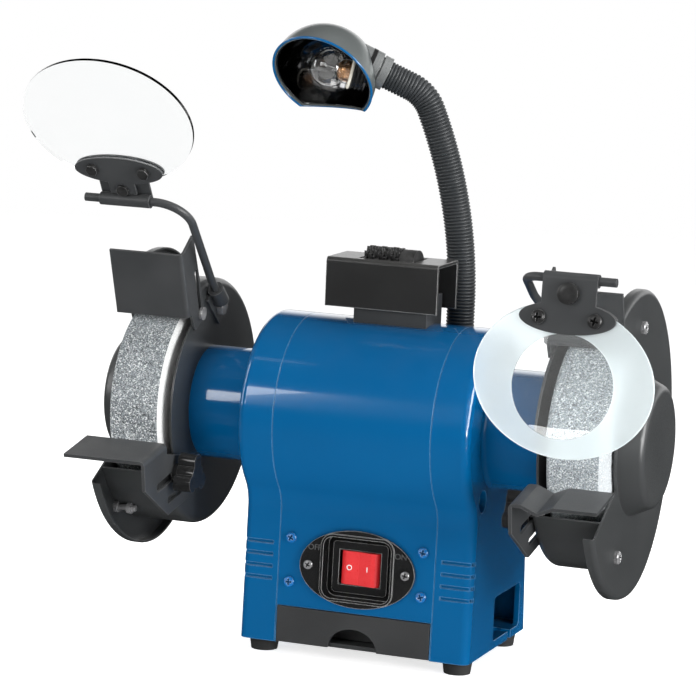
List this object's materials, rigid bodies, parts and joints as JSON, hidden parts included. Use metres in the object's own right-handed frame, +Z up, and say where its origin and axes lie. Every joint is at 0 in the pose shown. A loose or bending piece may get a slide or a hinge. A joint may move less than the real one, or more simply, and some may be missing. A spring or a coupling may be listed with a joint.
{
  "type": "bench grinder",
  "caption": "Bench grinder: a wheel at each end in a part-open guard, tool rests, eye shields, water tray, rocker switch, wheel dresser on top and a lamp on a ribbed neck.",
  "frame": {"origin": "midway between the two bench-bolt holes, on the underside of the casing", "axes": "+X along the shaft to the right-hand wheel, -Y towards the user, +Z up"},
  "size_m": [0.46, 0.2514, 0.4495],
  "materials": {
    "blue_paint": "glossy enamel",
    "black_paint": "semi-gloss black paint",
    "rubber": "matt",
    "zinc": "zinc plated",
    "blue_screw": "painted over",
    "lamination": "dull",
    "copper": "enamelled wire",
    "grey_plastic": "satin",
    "black_plastic": "satin",
    "red_plastic": "glossy",
    "steel": "bright",
    "left_abrasive": "coarse grain",
    "right_abrasive": "fine grain",
    "paper": "matt",
    "black_bracket": "semi-gloss",
    "clear_lens": "clear",
    "frosted_lens": "frosted",
    "reflector": "bright",
    "bulb_glass": "clear"
  },
  "bodies": {
    "base": {"motor_shell": "blue_paint", "left_end_bell": "blue_paint", "right_end_bell": "blue_paint", "base_plate": "black_paint", "rubber_feet": "rubber", "tie_bolts": "zinc", "casing_screws": "blue_screw", "switch_plate_screws": "zinc", "stator_core": "lamination", "stator_windings": "copper", "run_capacitor": "grey_plastic", "terminal_block": "grey_plastic", "switch_plate": "black_plastic", "switch_housing": "black_plastic", "cable_gland": "black_plastic", "gooseneck_socket": "black_plastic", "dresser_seat": "black_paint", "left_guard": "black_paint", "right_guard": "black_paint", "left_cover": "black_paint", "right_cover": "black_paint", "guard_screws": "zinc", "bearing_outer_races": "steel"},
    "rotor": {"arbor_shaft": "steel", "rotor_core": "lamination", "bearing_inner_races": "steel", "bearing_balls": "steel", "left_wheel": "left_abrasive", "right_wheel": "right_abrasive", "wheel_flanges": "zinc", "wheel_blotters": "paper", "arbor_nuts": "zinc"},
    "rocker": {"switch_rocker": "red_plastic"},
    "tray": {"water_tray": "black_plastic"},
    "dresser": {"dresser_channel": "black_paint", "dresser_pin": "steel"},
    "cutters": {"dresser_cutters": "steel"},
    "neck": {"gooseneck": "black_plastic"},
    "lamp": {"lamp_collar": "grey_plastic", "lamp_hood": "grey_plastic", "lamp_reflector": "reflector", "lamp_socket": "black_plastic", "lamp_bulb": "bulb_glass"},
    "left_rest": {"left_tool_rest": "black_paint"},
    "left_knob": {"left_rest_knob": "black_plastic"},
    "left_deflector": {"left_deflector": "black_paint"},
    "left_arm": {"left_shield_rod": "steel", "left_rod_clamp": "zinc"},
    "left_shield": {"left_shield_bracket": "black_bracket", "left_shield_lens": "clear_lens", "left_shield_screws": "zinc"},
    "right_rest": {"right_tool_rest": "black_paint"},
    "right_knob": {"right_rest_knob": "black_plastic"},
    "right_deflector": {"right_deflector": "black_paint"},
    "right_arm": {"right_shield_rod": "steel", "right_rod_clamp": "zinc"},
    "right_shield": {"right_shield_bracket": "black_bracket", "right_shield_lens": "frosted_lens", "right_shield_screws": "zinc", "magnifier_lens": "clear_lens"}
  },
  "joints": [
    {"name": "arbor_spin", "type": "hinge", "parent": "base", "child": "rotor", "pos_m": [0, -0.044, 0.16], "axis": [1, 0, 0], "continuous": true},
    {"name": "switch_rock", "type": "hinge", "parent": "base", "child": "rocker", "pos_m": [0.0015, -0.08537, 0.05862], "axis": [0, 0.038, 0.9993], "range_deg": [0, 12]},
    {"name": "tray_pull", "type": "slide", "parent": "base", "child": "tray", "axis": [0, -1, 0], "range_m": [0, 0.07]},
    {"name": "dresser_lift", "type": "slide", "parent": "base", "child": "dresser", "axis": [0, 0, 1], "range_m": [0, 0.03]},
    {"name": "cutter_spin", "type": "hinge", "parent": "dresser", "child": "cutters", "pos_m": [0, -0.044, 0.27], "axis": [1, 0, 0], "continuous": true},
    {"name": "neck_turn", "type": "hinge", "parent": "base", "child": "neck", "pos_m": [0.04, -0.006, 0.22368], "axis": [0, 0, 1], "range_deg": [-40, 40]},
    {"name": "lamp_turn", "type": "hinge", "parent": "neck", "child": "lamp", "pos_m": [-0.01586, -0.02857, 0.40471], "axis": [-0.847, -0.3422, 0.4067], "range_deg": [-40, 40]},
    {"name": "left_rest_slide", "type": "slide", "parent": "base", "child": "left_rest", "axis": [0, 0.9816, 0.1908], "range_m": [-0.008, 0.01]},
    {"name": "left_knob_turn", "type": "hinge", "parent": "base", "child": "left_knob", "pos_m": [-0.126, -0.111, 0.117], "axis": [1, 0, 0], "continuous": true},
    {"name": "left_deflector_slide", "type": "slide", "parent": "base", "child": "left_deflector", "axis": [0, -0.342, 0.9397], "range_m": [-0.009, 0]},
    {"name": "left_arm_swing", "type": "hinge", "parent": "base", "child": "left_arm", "pos_m": [-0.134, -0.04, 0.229], "axis": [-1, 0, 0], "range_deg": [-15, 10]},
    {"name": "left_shield_tilt", "type": "hinge", "parent": "left_arm", "child": "left_shield", "pos_m": [-0.1665, -0.13809, 0.31278], "axis": [-1, 0, 0], "range_deg": [-120, 15]},
    {"name": "right_rest_slide", "type": "slide", "parent": "base", "child": "right_rest", "axis": [0, 0.9816, 0.1908], "range_m": [-0.008, 0.01]},
    {"name": "right_knob_turn", "type": "hinge", "parent": "base", "child": "right_knob", "pos_m": [0.126, -0.111, 0.117], "axis": [1, 0, 0], "continuous": true},
    {"name": "right_deflector_slide", "type": "slide", "parent": "base", "child": "right_deflector", "axis": [0, -0.342, 0.9397], "range_m": [-0.009, 0]},
    {"name": "right_arm_swing", "type": "hinge", "parent": "base", "child": "right_arm", "pos_m": [0.134, -0.04, 0.229], "axis": [-1, 0, 0], "range_deg": [-4, 18]},
    {"name": "right_shield_tilt", "type": "hinge", "parent": "right_arm", "child": "right_shield", "pos_m": [0.1665, -0.15545, 0.28656], "axis": [-1, 0, 0], "range_deg": [-2, 140]}
  ]
}
